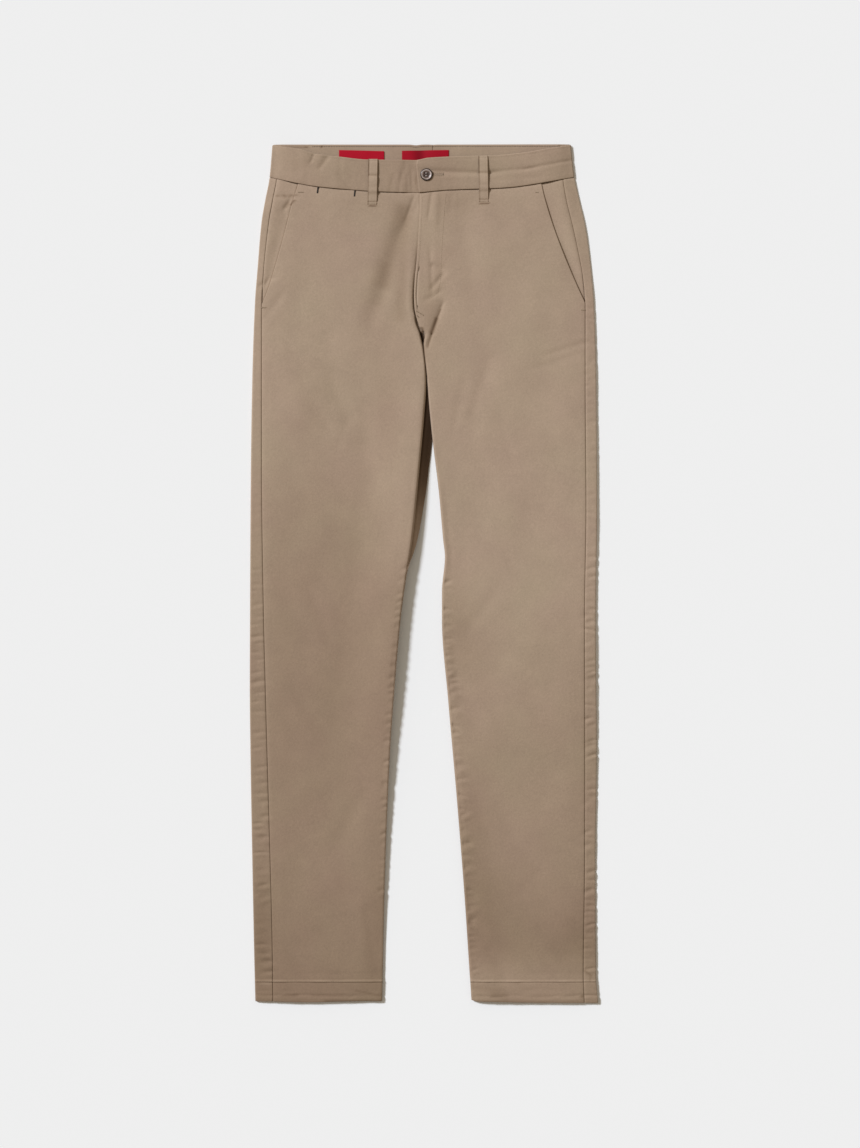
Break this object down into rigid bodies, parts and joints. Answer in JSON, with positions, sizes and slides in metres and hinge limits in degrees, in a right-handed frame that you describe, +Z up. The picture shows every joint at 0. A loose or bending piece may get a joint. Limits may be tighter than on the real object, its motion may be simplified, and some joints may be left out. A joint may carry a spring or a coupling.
{
  "type": "chino trousers",
  "caption": "Straight-leg cotton twill chino trousers laid flat front up, with a buttoned waistband, belt loops, slanted side pockets and turned-up hems.",
  "frame": {"origin": "middle of the footprint, on the surface that the trousers lie on", "axes": "+X to the wearer's left leg, +Y from the hems to the waist, +Z up from the surface through the front of the trousers"},
  "size_m": [0.4361, 1.0735, 0.0153],
  "materials": {
    "twill": "brushed matt cotton twill, khaki beige",
    "label_satin": "plain red satin ribbon",
    "button_horn": "polished imitation horn, grey brown"
  },
  "bodies": {
    "root": {"front_right": "twill", "front_left": "twill", "back_right": "twill", "back_left": "twill", "waistband_right": "twill", "waistband_left": "twill", "pocket_facing_right": "twill", "pocket_facing_left": "twill", "belt_loop_front_right": "twill", "belt_loop_front_left": "twill", "belt_loop_back_right": "twill", "belt_loop_back_centre": "twill", "belt_loop_back_left": "twill", "button": "button_horn", "label_small": "label_satin", "label_wide": "label_satin"}
  },
  "joints": []
}
